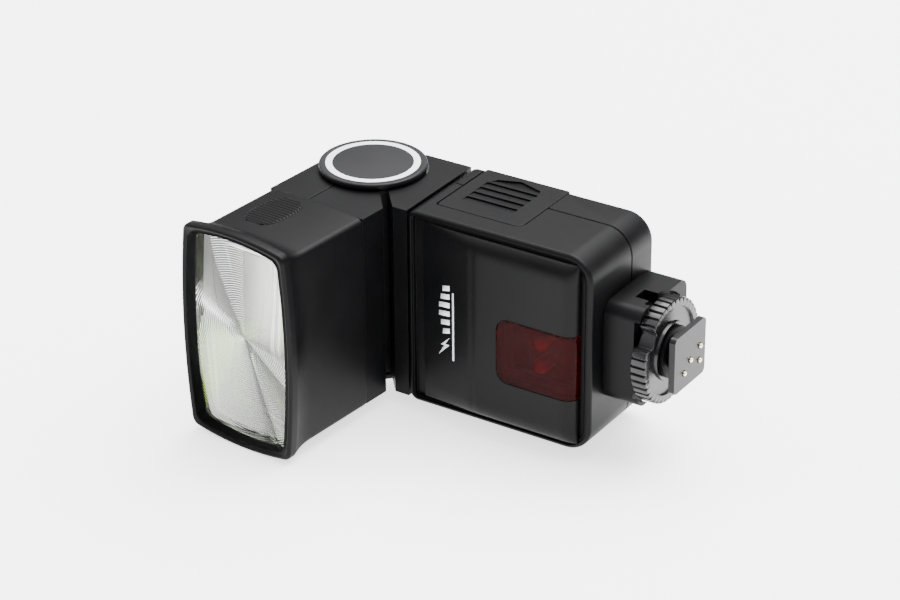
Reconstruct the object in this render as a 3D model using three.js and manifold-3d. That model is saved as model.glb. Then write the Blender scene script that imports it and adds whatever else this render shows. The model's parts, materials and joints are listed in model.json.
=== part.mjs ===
// A shoe-mount speedlight flash, lying on its side: millimetres, +Z up.
// +X runs along the body towards the shoe foot, -Y is the way the body's front faces, and the
// model is drawn round the body (x from its swivel end, y from its front rim, z from its middle
// plane), then placed with the middle of its box's base at the origin.
import * as THREE from "three";
import { mergeVertices } from "three/addons/utils/BufferGeometryUtils.js";
import Module from "manifold-3d";

const wasm = await Module();
wasm.setup();

// ---- driving dimensions ----
const GAP = 0.3; // clearance between pieces that meet
const FAR = 200; // reach of a cutting block that only needs to be long enough

const BODY = { length: 64.5, depth: 36.8, half: 32.5, wall: 2, seam: 23.2, end: 8.5, near: 3 };
const PANEL = { x0: 5.9, x1: 60.4, half: 30, proud: 3.3, crease: 25, back: 0.9, seat: 1.2, round: 2.4 };
const WINDOW = { x0: 33.9, x1: 60.4, z: -3.7, half: 10.55, wall: 1.2 };
const CELL = { r: 7, length: 49.5, nub: 1, nubR: 2.75, top: 28.6 };
const BAY = { x0: 4.8, x1: 35.4, y0: 3.5, y1: 33.75, z0: -27.4, z1: 28.2, wall: 0.8 };
const DOOR = { x0: 5.4, x1: 35.1, y0: 8, thick: 1.8, lip: 12.2, pinR: 0.8, slide: 4 };
const RAIL = { left0: 2.8, left1: 4.3, right0: 35.9, right1: 37.4, y0: 15, half: 1.3 };
const REAR = { x0: 38.2, x1: 61, half: 25, thick: 1, pocket: 0.8 };
const CONTROL = {
  x: 49.6, switchZ: 15, testZ: -1, testR: 4, modeZ: -14, lampZ: 6.4, lampR: 1.3, dotR: 1, dotX: 4,
};
const SCREW = { headR: 2.1, shankR: 1, length: 7, deep: 0.9, sunk: 0.2, slot: 0.6, holeR: 2.5 };
const AF = { x: 47, lampY: 1.4, lampR: 2.5, lampZ: 4, boardY: 6.4 };
const MAIN_BOARD = { x0: 38, x1: 61.5, y0: 31.6, y1: 33.2, half: 26 };
const CAPACITOR = { x: 49.5, y: 19.3, r: 10.8, z0: -12, z1: 27 };
const TRANSFORMER = { x0: 42, x1: 57, y0: 12, y1: 27, z0: -28, z1: -13.5 };
const AXIS = { x: -25.7, y: 20.05, rest: -4.77 }; // tilt axis, and how far the head is turned back
const SWIVEL = { y: 18.4, r: 9, bore: 7, flange: 13 };
const YOKE = { x1: -0.4, y0: 0.5, y1: 36.6, half: 31.8, hub: 15.4, arc: 17.2, hubHalf: 26.4 };
const NECK = {
  left: -16.4, right: 19.9, front: -29.6, half: 31.6,
  mitreY: -19.9, mitreEnd: [12, -11.6], r: 16.4, seam: -1.9,
};
const CAP = { r: 16.8, top: 33.9, under: 31.9, ringIn: 12.7, ringOut: 14.6, ringDeep: 0.4 };
const PIVOT = { r: 3.2, z0: 20, z1: 31.5 };
const HEAD = { x0: -15.9, x1: 20.9, half: 32.4, back: -30, wall: 1.8 };
const RIM = {
  x0: -20, x1: 22.6, half: 36, y0: -67.5, y1: -60.5, step: -64.5, stepIn: 0.9, wall: 2.2, bulge: 2,
};
const LENS = { y0: -63.6, y1: -62 };
const SLEEVE = { inset: 0.4, wall: 0.9, y0: -58.2 };
const LAMP = { r: 2, y: -43, backY: -39, mouthY: -59.8, mouth: 14, half: 28, skin: 0.6, lip: 1.2 };
const BRACKET = { x1: 77, y0: 6.5, y1: 34.7, half: 16.2, round: 4 };
const WHEEL = { x0: 76.7, x1: 81.7, r: 16.4, bore: 5, y: 17.95, teeth: 40, tooth: 0.7 };
const WASHER = { x0: 82.1, x1: 83.1, rIn: 5.7, rOut: 8.2 };
const FOOT = { x0: 85.8, x1: 87.8, width: 18.6, stem: 4.7, pinR: 0.75, pinOut: 0.9 };

// ---- solids: three.js makes the shapes, manifold-3d joins and cuts them ----
function solid(geometry) {
  const bare = geometry.index ? geometry.toNonIndexed() : geometry.clone();
  bare.deleteAttribute("normal");
  bare.deleteAttribute("uv");
  const merged = mergeVertices(bare, 1e-4);
  return new wasm.Manifold(
    new wasm.Mesh({
      numProp: 3,
      vertProperties: merged.attributes.position.array,
      triVerts: new Uint32Array(merged.index.array),
    }),
  );
}

function geometryOf(manifold) {
  const mesh = manifold.getMesh();
  return new THREE.BufferGeometry()
    .setAttribute("position", new THREE.BufferAttribute(mesh.vertProperties, 3))
    .setIndex(new THREE.BufferAttribute(mesh.triVerts, 1))
    .toNonIndexed();
}

const cut = (from, ...tools) => tools.reduce((left, tool) => left.subtract(tool), from);
const join = (...pieces) => pieces.reduce((whole, piece) => whole.add(piece));

function box(x0, x1, y0, y1, z0, z1) {
  const geometry = new THREE.BoxGeometry(x1 - x0, y1 - y0, z1 - z0);
  return solid(geometry.translate((x0 + x1) / 2, (y0 + y1) / 2, (z0 + z1) / 2));
}

const unit = { x: new THREE.Vector3(1, 0, 0), y: new THREE.Vector3(0, 1, 0), z: new THREE.Vector3(0, 0, 1) };
const minusY = new THREE.Vector3(0, -1, 0);

// A flat outline pushed from one place to another along an axis. The outline is in (y, z) for
// axis x, in (x, z) for axis y and in (x, y) for axis z.
function extrude(outline, axis, from, to, curveSegments = 6) {
  const settings = { depth: to - from, bevelEnabled: false, curveSegments };
  const geometry = new THREE.ExtrudeGeometry(outline, settings);
  const bases = { x: [unit.y, unit.z, unit.x], y: [unit.x, unit.z, minusY], z: [unit.x, unit.y, unit.z] };
  geometry.applyMatrix4(new THREE.Matrix4().makeBasis(...bases[axis]));
  const start = { x: [from, 0, 0], y: [0, to, 0], z: [0, 0, from] };
  return solid(geometry.translate(...start[axis]));
}

// A round bar along an axis; u and v are its centre in the other two coordinates.
function rod(axis, from, to, u, v, r, segments = 24) {
  const geometry = new THREE.CylinderGeometry(r, r, to - from, segments);
  const middle = (from + to) / 2;
  if (axis === "x") geometry.rotateZ(-Math.PI / 2).translate(middle, u, v);
  if (axis === "y") geometry.translate(u, middle, v);
  if (axis === "z") geometry.rotateX(Math.PI / 2).translate(u, v, middle);
  return solid(geometry);
}

const ring = (axis, from, to, u, v, rIn, rOut, segments = 24) =>
  cut(rod(axis, from, to, u, v, rOut, segments), rod(axis, from - 1, to + 1, u, v, rIn, segments));

// A rectangle with its own radius at each end in its first coordinate.
function roundedOutline(u0, u1, v0, v1, r0, r1 = r0) {
  const s = new THREE.Shape();
  s.moveTo(u0 + r0, v0);
  s.lineTo(u1 - r1, v0);
  s.absarc(u1 - r1, v0 + r1, r1, -Math.PI / 2, 0, false);
  s.lineTo(u1, v1 - r1);
  s.absarc(u1 - r1, v1 - r1, r1, 0, Math.PI / 2, false);
  s.lineTo(u0 + r0, v1);
  s.absarc(u0 + r0, v1 - r0, r0, Math.PI / 2, Math.PI, false);
  s.lineTo(u0, v0 + r0);
  s.absarc(u0 + r0, v0 + r0, r0, Math.PI, 1.5 * Math.PI, false);
  return s;
}

function polygon(points) {
  return new THREE.Shape(points.map(([u, v]) => new THREE.Vector2(u, v)));
}

// ---- materials ----
const plastic = (color, roughness = 0.6) =>
  new THREE.MeshStandardMaterial({ color, roughness, metalness: 0 });
const metal = (color, roughness = 0.3) =>
  new THREE.MeshStandardMaterial({ color, roughness, metalness: 1 });
const clear = (color, opacity) =>
  new THREE.MeshStandardMaterial({ color, roughness: 0.1, metalness: 0, transparent: true, opacity });
const LOOK = {
  casing: plastic(0x1b1b1d),
  grey: plastic(0x38383c, 0.5),
  gloss: plastic(0x121214, 0.3),
  white: plastic(0xdedee6, 0.5),
  red: clear(0x8c0810, 0.6),
  lens: clear(0xe8ece6, 0.35),
  board: plastic(0x1f5c34),
  sleeve: plastic(0x2b3f8c, 0.4),
  steel: metal(0xb8b8bc),
  gold: metal(0xcaa64e),
  reflector: metal(0xe6e6e6, 0.15),
};

const assembly = new THREE.Group();
const head = new THREE.Group();
head.position.set(AXIS.x, AXIS.y, 0);
head.rotation.z = THREE.MathUtils.degToRad(AXIS.rest);
assembly.add(head);

function place(group, name, look, manifold) {
  const mesh = new THREE.Mesh(geometryOf(manifold), LOOK[look]);
  mesh.name = name;
  group.add(mesh);
}

// ---- the body's casing ----
function bodyOutline(inset) {
  const { length, half, near, end } = BODY;
  return roundedOutline(inset, length - inset, inset - half, half - inset, near - inset, end - inset);
}

// Room for the battery door: the side opening, and the strip of the back that its lip covers.
function doorRoom() {
  const x0 = DOOR.x0 - GAP;
  const x1 = DOOR.x1 + GAP;
  const top = box(x0, x1, DOOR.y0 - GAP, FAR, BODY.half - BODY.wall - 1, FAR);
  const lip = box(x0, x1, BODY.depth - BODY.wall - 1, FAR, BODY.half - DOOR.lip - GAP, FAR);
  return join(top, lip);
}

const swivelHole = () => rod("x", -1, BODY.wall + 0.5, SWIVEL.y, 0, SWIVEL.r + GAP, 32);

function frontShell() {
  const seam = BODY.seam - GAP / 2;
  const inside = extrude(bodyOutline(BODY.wall), "y", PANEL.seat + BODY.wall, FAR);
  const { x0, x1, half } = PANEL;
  const clear = 0.4;
  const seatOutline = roundedOutline(x0 - clear, x1 + clear, -half - clear, half + clear, 0.5);
  const seat = extrude(seatOutline, "y", -1, PANEL.seat);
  const ledge = 3;
  const light = box(
    WINDOW.x0 + ledge, WINDOW.x1 - ledge, -1, BODY.wall + 2,
    WINDOW.z - WINDOW.half + ledge, WINDOW.z + WINDOW.half - ledge,
  );
  return cut(extrude(bodyOutline(0), "y", 0, seam), inside, seat, light, doorRoom(), swivelHole());
}

const SCREWS = [[10, -29.2], [32, -29.2], [54, -29.2], [54, 29.2]];

function rearShell() {
  const seam = BODY.seam + GAP / 2;
  const back = BODY.depth;
  const inside = extrude(bodyOutline(BODY.wall), "y", 0, back - BODY.wall);
  const pocketHalf = REAR.half + GAP;
  const pocket = box(REAR.x0 - GAP, REAR.x1 + GAP, back - REAR.pocket, FAR, -pocketHalf, pocketHalf);
  const controls = box(REAR.x0 + 3, REAR.x1 - 3, back - BODY.wall - 1, FAR, -REAR.half + 3, REAR.half - 3);
  const rail = railOutline(0.4);
  const rails = join(
    box(rail.left0, DOOR.x0, BODY.seam, FAR, rail.z0, rail.z1),
    box(DOOR.x1, rail.right1, BODY.seam, FAR, rail.z0, rail.z1),
  );
  const outside = extrude(bodyOutline(0), "y", seam, back);
  let shell = cut(outside, inside, pocket, controls, doorRoom(), swivelHole(), rails);
  for (const [x, z] of SCREWS) {
    const through = rod("y", seam - 1, FAR, x, z, SCREW.shankR + 0.4, 12);
    const counterbore = rod("y", back - SCREW.deep - GAP, FAR, x, z, SCREW.holeR, 16);
    shell = cut(shell, through, counterbore);
  }
  return shell;
}

function caseScrew(x, z) {
  const { headR, shankR, length, deep, sunk, slot } = SCREW;
  const head = rod("y", BODY.depth - deep, BODY.depth - sunk, x, z, headR, 16);
  const shank = rod("y", BODY.depth - length, BODY.depth - deep + 0.1, x, z, shankR, 10);
  const grooveFloor = BODY.depth - (deep + sunk) / 2;
  const groove = box(x - headR - 1, x + headR + 1, grooveFloor, FAR, z - slot / 2, z + slot / 2);
  return cut(join(head, shank), groove);
}

// The side profile of the front panel in (x, y): a wedge that climbs to its crease, then flat,
// with a rounded far end.
function panelOutline(inset) {
  const face = -PANEL.proud + inset;
  const s = new THREE.Shape();
  s.moveTo(PANEL.x0 + inset, PANEL.back);
  s.lineTo(PANEL.x1 - inset, PANEL.back);
  s.lineTo(PANEL.x1 - inset, face + PANEL.round);
  s.absarc(PANEL.x1 - inset - PANEL.round, face + PANEL.round, PANEL.round, 0, -Math.PI / 2, true);
  s.lineTo(PANEL.crease, face);
  s.lineTo(PANEL.x0 + inset, inset * 0.3);
  return s;
}

function frontPanel() {
  const { x0, z, half } = WINDOW;
  const notch = box(x0 - GAP, FAR, -FAR, FAR, z - half - GAP, z + half + GAP);
  return cut(extrude(panelOutline(0), "z", -PANEL.half, PANEL.half), notch);
}

function afWindow() {
  const reach = box(WINDOW.x0, FAR, -FAR, FAR, WINDOW.z - WINDOW.half, WINDOW.z + WINDOW.half);
  const { x0, x1, z, half, wall } = WINDOW;
  const hollow = box(x0 + wall, x1 - wall, wall - PANEL.proud, FAR, z - half + wall, z + half - wall);
  return cut(extrude(panelOutline(0), "z", -PANEL.half, PANEL.half).intersect(reach), hollow);
}

function afLamp(z) {
  const can = rod("y", AF.lampY, AF.boardY - GAP, AF.x, z, AF.lampR, 16);
  const dome = new THREE.SphereGeometry(AF.lampR, 16, 8).translate(AF.x, AF.lampY, z);
  return join(can, solid(dome));
}

function placeCasing(group) {
  place(group, "front_shell", "casing", frontShell());
  place(group, "rear_shell", "casing", rearShell());
  place(group, "front_panel", "casing", frontPanel());
  place(group, "af_window", "red", afWindow());
  place(group, "af_lamp_upper", "red", afLamp(WINDOW.z + AF.lampZ));
  place(group, "af_lamp_lower", "red", afLamp(WINDOW.z - AF.lampZ));
  const board = box(AF.x - 7.5, AF.x + 13, AF.boardY, AF.boardY + 1, WINDOW.z - 12, WINDOW.z + 12);
  place(group, "af_board", "board", board);
  SCREWS.forEach(([x, z], i) => place(group, `case_screw_${i + 1}`, "steel", caseScrew(x, z)));
}

// ---- batteries and electronics ----
const CELL_X = [BAY.x0 + BAY.wall + GAP + CELL.r, BAY.x1 - BAY.wall - GAP - CELL.r];
const CELL_Y = [BAY.y0 + BAY.wall + GAP + CELL.r, BAY.y1 - BAY.wall - GAP - CELL.r];
const CELL_FOOT = CELL.top - CELL.length - CELL.nub;

function cell(x, y, nubUp) {
  const z0 = nubUp ? CELL_FOOT : CELL_FOOT + CELL.nub;
  const can = rod("z", z0, z0 + CELL.length, x, y, CELL.r, 20);
  const nub = nubUp
    ? rod("z", z0 + CELL.length - 0.1, z0 + CELL.length + CELL.nub, x, y, CELL.nubR, 12)
    : rod("z", z0 - CELL.nub, z0 + 0.1, x, y, CELL.nubR, 12);
  return join(can, nub);
}

function cellSpring(x, y) {
  const height = CELL_FOOT - GAP - (BAY.z0 + BAY.wall + GAP);
  const cone = new THREE.CylinderGeometry(2, 4.5, height, 16).rotateX(Math.PI / 2);
  return solid(cone.translate(x, y, CELL_FOOT - GAP - height / 2));
}

function batteryCase() {
  const { x0, x1, y0, y1, z0, z1, wall } = BAY;
  return cut(box(x0, x1, y0, y1, z0, z1), box(x0 + wall, x1 - wall, y0 + wall, y1 - wall, z0 + wall, FAR));
}

function placePower(group) {
  place(group, "battery_case", "casing", batteryCase());
  let count = 0;
  for (const x of CELL_X) {
    for (const y of CELL_Y) {
      count += 1;
      const nubUp = count === 1 || count === 4;
      place(group, `battery_cell_${count}`, "sleeve", cell(x, y, nubUp));
      const floor = BAY.z0 + BAY.wall + GAP;
      const tab = box(x - 4, x + 4, y - 4, y + 4, floor, CELL_FOOT - GAP);
      place(group, `cell_contact_${count}`, "steel", nubUp ? cellSpring(x, y) : tab);
    }
  }
  const main = MAIN_BOARD;
  place(group, "main_board", "board", box(main.x0, main.x1, main.y0, main.y1, -main.half, main.half));
  const can = CAPACITOR;
  place(group, "main_capacitor", "sleeve", rod("z", can.z0, can.z1, can.x, can.y, can.r));
  const { x0, x1, y0, y1, z0, z1 } = TRANSFORMER;
  place(group, "transformer", "steel", box(x0, x1, y0, y1, z0, z1));
}

// ---- the battery door: a frame that slides, and the door hinged on the frame's rod ----
const PIN_Y = BODY.depth - 1.2;
const PIN_Z = BODY.half - DOOR.lip + 1.6;

function railOutline(clear) {
  const { left0, left1, right0, right1, half } = RAIL;
  return {
    left0: left0 - clear, left1: left1 + clear, right0: right0 - clear, right1: right1 + clear,
    z0: PIN_Z - half - clear, z1: PIN_Z + half + clear,
  };
}

function doorSlideFrame() {
  const rail = railOutline(0);
  const end = BODY.depth - GAP;
  return join(
    box(rail.left0, rail.left1, RAIL.y0, end, rail.z0, rail.z1),
    box(rail.right0, rail.right1, RAIL.y0, end, rail.z0, rail.z1),
    rod("x", rail.left1 - 0.5, rail.right0 + 0.5, PIN_Y, PIN_Z, DOOR.pinR, 16),
  );
}

function batteryDoor() {
  const { x0, x1, y0, thick, lip } = DOOR;
  const cover = extrude(roundedOutline(x0, x1, y0, BODY.depth, 1), "z", BODY.half - thick, BODY.half);
  const back = box(x0, x1, BODY.depth - thick, BODY.depth, BODY.half - lip + 1.6, BODY.half - 0.1);
  const knuckle = rod("x", x0, x1, PIN_Y, PIN_Z, 1.5, 20);
  return cut(join(cover, back, knuckle), rod("x", x0 - 1, x1 + 1, PIN_Y, PIN_Z, DOOR.pinR + GAP, 16));
}

function placeDoor(group) {
  place(group, "door_slide_frame", "casing", doorSlideFrame());
  place(group, "battery_door", "casing", batteryDoor());
  const plateTop = BODY.half - DOOR.thick - GAP;
  const plate = box(DOOR.x0 + 1, DOOR.x1 - 1, DOOR.y0 + 1.5, BAY.y1 - 1, CELL.top + 0.4, plateTop);
  place(group, "door_contact_plate", "board", plate);
}

// ---- rear controls ----
const PANEL_BACK = BODY.depth - REAR.pocket + GAP;

function controlPanel() {
  const { x, switchZ, testZ, testR, modeZ, lampZ, lampR, dotR, dotX } = CONTROL;
  const plate = box(REAR.x0, REAR.x1, PANEL_BACK, PANEL_BACK + REAR.thick, -REAR.half, REAR.half);
  return cut(
    plate,
    box(x - 3.3, x + 3.3, 0, FAR, switchZ - 6.3, switchZ + 6.3),
    rod("y", 0, FAR, x, testZ, testR + GAP, 20),
    box(x - 5 - GAP, x + 5 + GAP, 0, FAR, modeZ - 2.5 - GAP, modeZ + 2.5 + GAP),
    rod("y", 0, FAR, x, lampZ, lampR + GAP, 12),
    rod("y", 0, FAR, x - dotX, modeZ - 6, dotR + GAP, 12),
    rod("y", 0, FAR, x + dotX, modeZ - 6, dotR + GAP, 12),
  );
}

function placeControls(group) {
  const { x, switchZ, testZ, testR, modeZ, lampZ, lampR, dotR, dotX } = CONTROL;
  const skin = PANEL_BACK + REAR.thick;
  place(group, "control_panel", "grey", controlPanel());
  const knob = box(x - 3, x + 3, PANEL_BACK - 1, skin + 0.2, switchZ - 4, switchZ + 2);
  const ridge = box(x - 2.4, x + 2.4, PANEL_BACK, skin + 1.1, switchZ - 2, switchZ);
  place(group, "power_switch", "gloss", join(knob, ridge));
  place(group, "test_button", "grey", rod("y", PANEL_BACK - 1.6, skin + 1, x, testZ, testR, 20));
  const mode = box(x - 5, x + 5, PANEL_BACK - 1.6, skin + 0.9, modeZ - 2.5, modeZ + 2.5);
  place(group, "mode_button", "grey", mode);
  const lamp = (lampX, z, r) => rod("y", PANEL_BACK - 2, skin + 0.3, lampX, z, r, 12);
  place(group, "ready_lamp", "red", lamp(x, lampZ, lampR));
  place(group, "mode_lamp_left", "red", lamp(x - dotX, modeZ - 6, dotR));
  place(group, "mode_lamp_right", "red", lamp(x + dotX, modeZ - 6, dotR));
}

// ---- shoe foot ----
const BOSS_X0 = BODY.length + GAP;

function footBracket() {
  const { x1, y0, y1, half, round } = BRACKET;
  const block = extrude(roundedOutline(y0, y1, -half, half, round), "x", BOSS_X0, x1);
  const recess = rod("x", WHEEL.x0 - 1.6, FAR, WHEEL.y, 0, WHEEL.r + 0.8, 32);
  const stemHole = rod("x", WHEEL.x0 - 4, FAR, WHEEL.y, 0, FOOT.stem + GAP, 20);
  const sight = box(70.5, FAR, 15, 20.5, 12.5, FAR);
  return cut(block, recess, stemHole, sight);
}

// The wheel's rim has shallow square knurls, and two finger notches on opposite sides.
function wheelOutline() {
  const { r, teeth, tooth } = WHEEL;
  const points = [];
  for (let i = 0; i < teeth; i++) {
    const start = (i / teeth) * 2 * Math.PI;
    const step = (2 * Math.PI) / teeth;
    for (const [turn, radius] of [[0, r], [0.62, r], [0.7, r - tooth], [0.92, r - tooth]]) {
      const angle = start + turn * step;
      points.push([WHEEL.y + radius * Math.cos(angle), radius * Math.sin(angle)]);
    }
  }
  return polygon(points);
}

function lockWheel() {
  const { x0, x1, r, bore, y } = WHEEL;
  let wheel = cut(extrude(wheelOutline(), "x", x0, x1), rod("x", x0 - 1, x1 + 1, y, 0, bore, 24));
  for (const angle of [145, 325]) {
    const turn = THREE.MathUtils.degToRad(angle);
    wheel = cut(wheel, rod("x", x0 - 1, x1 + 1, y + r * Math.cos(turn), r * Math.sin(turn), 3.2, 16));
  }
  return cut(wheel, ring("x", x1 - 0.8, x1 + 1, y, 0, bore + 4, r - 2.2, 32));
}

// Contact pins, as (y, z) from the foot's middle.
const PINS = [[5.7, 1], [0, -1.2], [5.6, -3.8], [-3.6, -4.1]];

function footPlate() {
  const half = FOOT.width / 2;
  const y = WHEEL.y;
  let plate = extrude(roundedOutline(y - half, y + half, -half, half, 1.6), "x", FOOT.x0, FOOT.x1, 3);
  for (const [dy, dz] of PINS) {
    plate = cut(plate, rod("x", FOOT.x0 - 1, FOOT.x1 + 1, y + dy, dz, FOOT.pinR + GAP, 12));
  }
  return plate;
}

function placeFoot(group) {
  const y = WHEEL.y;
  place(group, "foot_bracket", "casing", footBracket());
  place(group, "lock_wheel", "gloss", lockWheel());
  place(group, "clamp_washer", "casing", ring("x", WASHER.x0, WASHER.x1, y, 0, WASHER.rIn, WASHER.rOut));
  place(group, "foot_stem", "casing", rod("x", WHEEL.x0 - 3.7, FOOT.x0 - GAP - 0.8, y, 0, FOOT.stem, 20));
  place(group, "foot_plate", "grey", footPlate());
  PINS.forEach(([dy, dz], i) => {
    const pin = rod("x", FOOT.x0 - 0.4, FOOT.x1 + FOOT.pinOut, y + dy, dz, FOOT.pinR, 12);
    place(group, `contact_pin_${i + 1}`, "gold", pin);
  });
}

// ---- swivel yoke ----
// Plan of the block beside the body, mitred towards the tilt axis at both sides.
function yokeOutline() {
  const { x1, y0, y1 } = YOKE;
  return polygon([
    [x1, y0], [x1, y1], [AXIS.x + 9, y1], [AXIS.x + 5, AXIS.y + 12],
    [AXIS.x + 5, AXIS.y - 4], [AXIS.x + 13.1, AXIS.y - 11.2], [AXIS.x + 20.3, y0],
  ]);
}

function yokeBlock() {
  const { half, hub, arc, hubHalf, x1 } = YOKE;
  const block = cut(extrude(yokeOutline(), "z", -half, half), rod("z", -FAR, FAR, AXIS.x, AXIS.y, arc, 48));
  const web = box(AXIS.x, x1 - 4, AXIS.y - 4, AXIS.y + 13, -hubHalf, hubHalf);
  const drum = rod("z", -hubHalf, hubHalf, AXIS.x, AXIS.y, hub, 40);
  const tube = rod("x", x1 - 1, 4.2, SWIVEL.y, 0, SWIVEL.r, 32);
  const wires = rod("x", AXIS.x + 8, 5, SWIVEL.y, 0, SWIVEL.bore, 24);
  const pivot = rod("z", -FAR, FAR, AXIS.x, AXIS.y, PIVOT.r + GAP, 16);
  return cut(join(block, web, drum, tube), wires, pivot);
}

function placeSwivel(group) {
  place(group, "yoke_block", "casing", yokeBlock());
  const retainer = ring("x", BODY.wall + GAP, 4.1, SWIVEL.y, 0, SWIVEL.r + GAP, SWIVEL.flange, 32);
  place(group, "swivel_retainer", "steel", retainer);
}

// ---- head neck, drawn round the tilt axis with the head facing -Y ----
function neckOutline() {
  const { left, right, front, mitreY, mitreEnd, r } = NECK;
  const s = new THREE.Shape();
  s.moveTo(left, front);
  s.lineTo(right, front);
  s.lineTo(right, mitreY);
  s.lineTo(...mitreEnd);
  s.absarc(0, 0, r, -Math.PI / 4, Math.PI, false);
  return s;
}

function neckCover(side) {
  const { front, half, seam, left, right } = NECK;
  const whole = extrude(neckOutline(), "z", -half, half, 24);
  const gapZ = YOKE.hubHalf + GAP;
  const behind = box(-FAR, FAR, -8, FAR, -gapZ, gapZ);
  const drumRoom = rod("z", -gapZ, gapZ, 0, 0, YOKE.hub + 0.5, 40);
  const inside = box(left + 2, right - 2, front - 1, -19, 2 - half, half - 2);
  const pivot = rod("z", -FAR, FAR, 0, 0, PIVOT.r + GAP, 16);
  const [from, to] = side < 0 ? [seam - GAP / 2, FAR] : [-FAR, seam + GAP / 2];
  const other = box(from, to, -FAR, FAR, -FAR, FAR);
  return cut(whole, behind, drumRoom, inside, pivot, other);
}

function pivotCap() {
  const { r, top, under, ringIn, ringOut, ringDeep } = CAP;
  const groove = ring("z", top - ringDeep - GAP, top + 1, 0, 0, ringIn - GAP, ringOut + GAP, 48);
  return cut(rod("z", under, top, 0, 0, r, 48), groove);
}

const flip = (manifold) => manifold.rotate([180, 0, 0]);

function placeNeck(group) {
  place(group, "neck_left_cover", "casing", neckCover(-1));
  place(group, "neck_right_cover", "casing", neckCover(1));
  const pin = () => rod("z", PIVOT.z0, PIVOT.z1, 0, 0, PIVOT.r, 16);
  const band = () => ring("z", CAP.top - CAP.ringDeep, CAP.top, 0, 0, CAP.ringIn, CAP.ringOut, 48);
  place(group, "tilt_pivot_top", "steel", pin());
  place(group, "tilt_pivot_bottom", "steel", flip(pin()));
  place(group, "pivot_cap_top", "grey", pivotCap());
  place(group, "pivot_cap_bottom", "grey", flip(pivotCap()));
  place(group, "pivot_ring_top", "white", band());
  place(group, "pivot_ring_bottom", "white", flip(band()));
}

// ---- flash head ----
function tube(inset, wall, y0, y1) {
  const { x0, x1, half } = HEAD;
  const outline = (d) => roundedOutline(x0 + d, x1 - d, d - half, half - d, Math.max(2.5 - d, 0.6));
  return cut(extrude(outline(inset), "y", y0, y1, 3), extrude(outline(inset + wall), "y", y0 - 1, y1 + 1, 3));
}

// The rim's outline: a rectangle whose sides bow out by the bulge in their middles.
function rimOutline(inset) {
  const { x0, x1, half, bulge } = RIM;
  const left = x0 + inset;
  const right = x1 - inset;
  const top = half - inset;
  const middle = (left + right) / 2;
  const s = new THREE.Shape();
  s.moveTo(left + bulge, bulge - top);
  s.quadraticCurveTo(middle, -top - bulge, right - bulge, bulge - top);
  s.quadraticCurveTo(right + bulge, 0, right - bulge, top - bulge);
  s.quadraticCurveTo(middle, top + bulge, left + bulge, top - bulge);
  s.quadraticCurveTo(left - bulge, 0, left + bulge, bulge - top);
  return s;
}

function frontBezel() {
  const { y0, y1, step, stepIn, wall } = RIM;
  const front = extrude(rimOutline(0), "y", y0, step, 10);
  const rear = extrude(rimOutline(stepIn), "y", step - 0.5, y1, 10);
  const seat = extrude(rimOutline(wall), "y", y0 - 1, LENS.y1 + GAP, 10);
  const edge = HEAD.wall;
  const opening = box(HEAD.x0 + edge, HEAD.x1 - edge, y0, FAR, edge - HEAD.half, HEAD.half - edge);
  return cut(join(front, rear), seat, opening);
}

const fresnelLens = () => extrude(rimOutline(RIM.wall + GAP), "y", LENS.y0, LENS.y1, 10);

// The reflector is a parabolic trough along the head's long side, with closed ends and a flat
// lip round its mouth that rests against the sleeve.
function troughOutline(grow) {
  const middle = (HEAD.x0 + HEAD.x1) / 2;
  const depth = LAMP.backY + grow - LAMP.mouthY;
  const mouth = LAMP.mouth + grow;
  const points = [];
  const steps = 14;
  for (let i = 0; i <= steps; i++) {
    const u = -1 + (2 * i) / steps;
    points.push([middle + mouth * u, LAMP.mouthY + depth * (1 - u * u)]);
  }
  return polygon(points.reverse());
}

function reflector() {
  const { mouthY, half, skin, lip, y, r } = LAMP;
  const inset = HEAD.wall + SLEEVE.inset;
  const outer = extrude(troughOutline(skin), "z", -half - skin, half + skin);
  const inner = extrude(troughOutline(0), "z", -half, half);
  const edge = HEAD.half - inset;
  const flange = box(HEAD.x0 + inset, HEAD.x1 - inset, mouthY, mouthY + lip, -edge, edge);
  const middle = (HEAD.x0 + HEAD.x1) / 2;
  const mouthHalf = LAMP.mouth - 0.6;
  const mouth = box(middle - mouthHalf, middle + mouthHalf, mouthY - 1, mouthY + 1, -half, half);
  return cut(join(outer, flange), inner, mouth, rod("z", -FAR, FAR, middle, y, r + GAP, 16));
}

function placeHead(group) {
  const middle = (HEAD.x0 + HEAD.x1) / 2;
  const inset = HEAD.wall + SLEEVE.inset;
  place(group, "inner_sleeve", "casing", tube(inset, SLEEVE.wall, SLEEVE.y0, NECK.front - GAP));
  place(group, "reflector", "reflector", reflector());
  place(group, "flash_tube", "lens", rod("z", -LAMP.half - 1, LAMP.half + 1, middle, LAMP.y, LAMP.r, 16));
  place(group, "trigger_coil", "sleeve", box(middle - 5, middle + 5, -29, -22, -9, 9));
  place(group, "zoom_barrel", "casing", tube(0, HEAD.wall, RIM.y1 + GAP, HEAD.back));
  place(group, "front_bezel", "casing", frontBezel());
  place(group, "fresnel_lens", "lens", fresnelLens());
}

placeCasing(assembly);
placePower(assembly);
placeDoor(assembly);
placeControls(assembly);
placeFoot(assembly);
placeSwivel(assembly);
placeNeck(head);
placeHead(head);

// The origin is the middle of the base of the whole model's box.
const flash = new THREE.Group();
flash.add(assembly);
flash.updateMatrixWorld(true);
const extent = new THREE.Box3().setFromObject(flash, true);
const centre = extent.getCenter(new THREE.Vector3());
assembly.position.set(-centre.x, -centre.y, -extent.min.z);

export default flash;
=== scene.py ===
"""A speedlight flash lying on its side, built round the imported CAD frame. Metres, +Z up."""

import json
import math

import bmesh
import bpy
import numpy as np
from mathutils import Matrix, Vector


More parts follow.
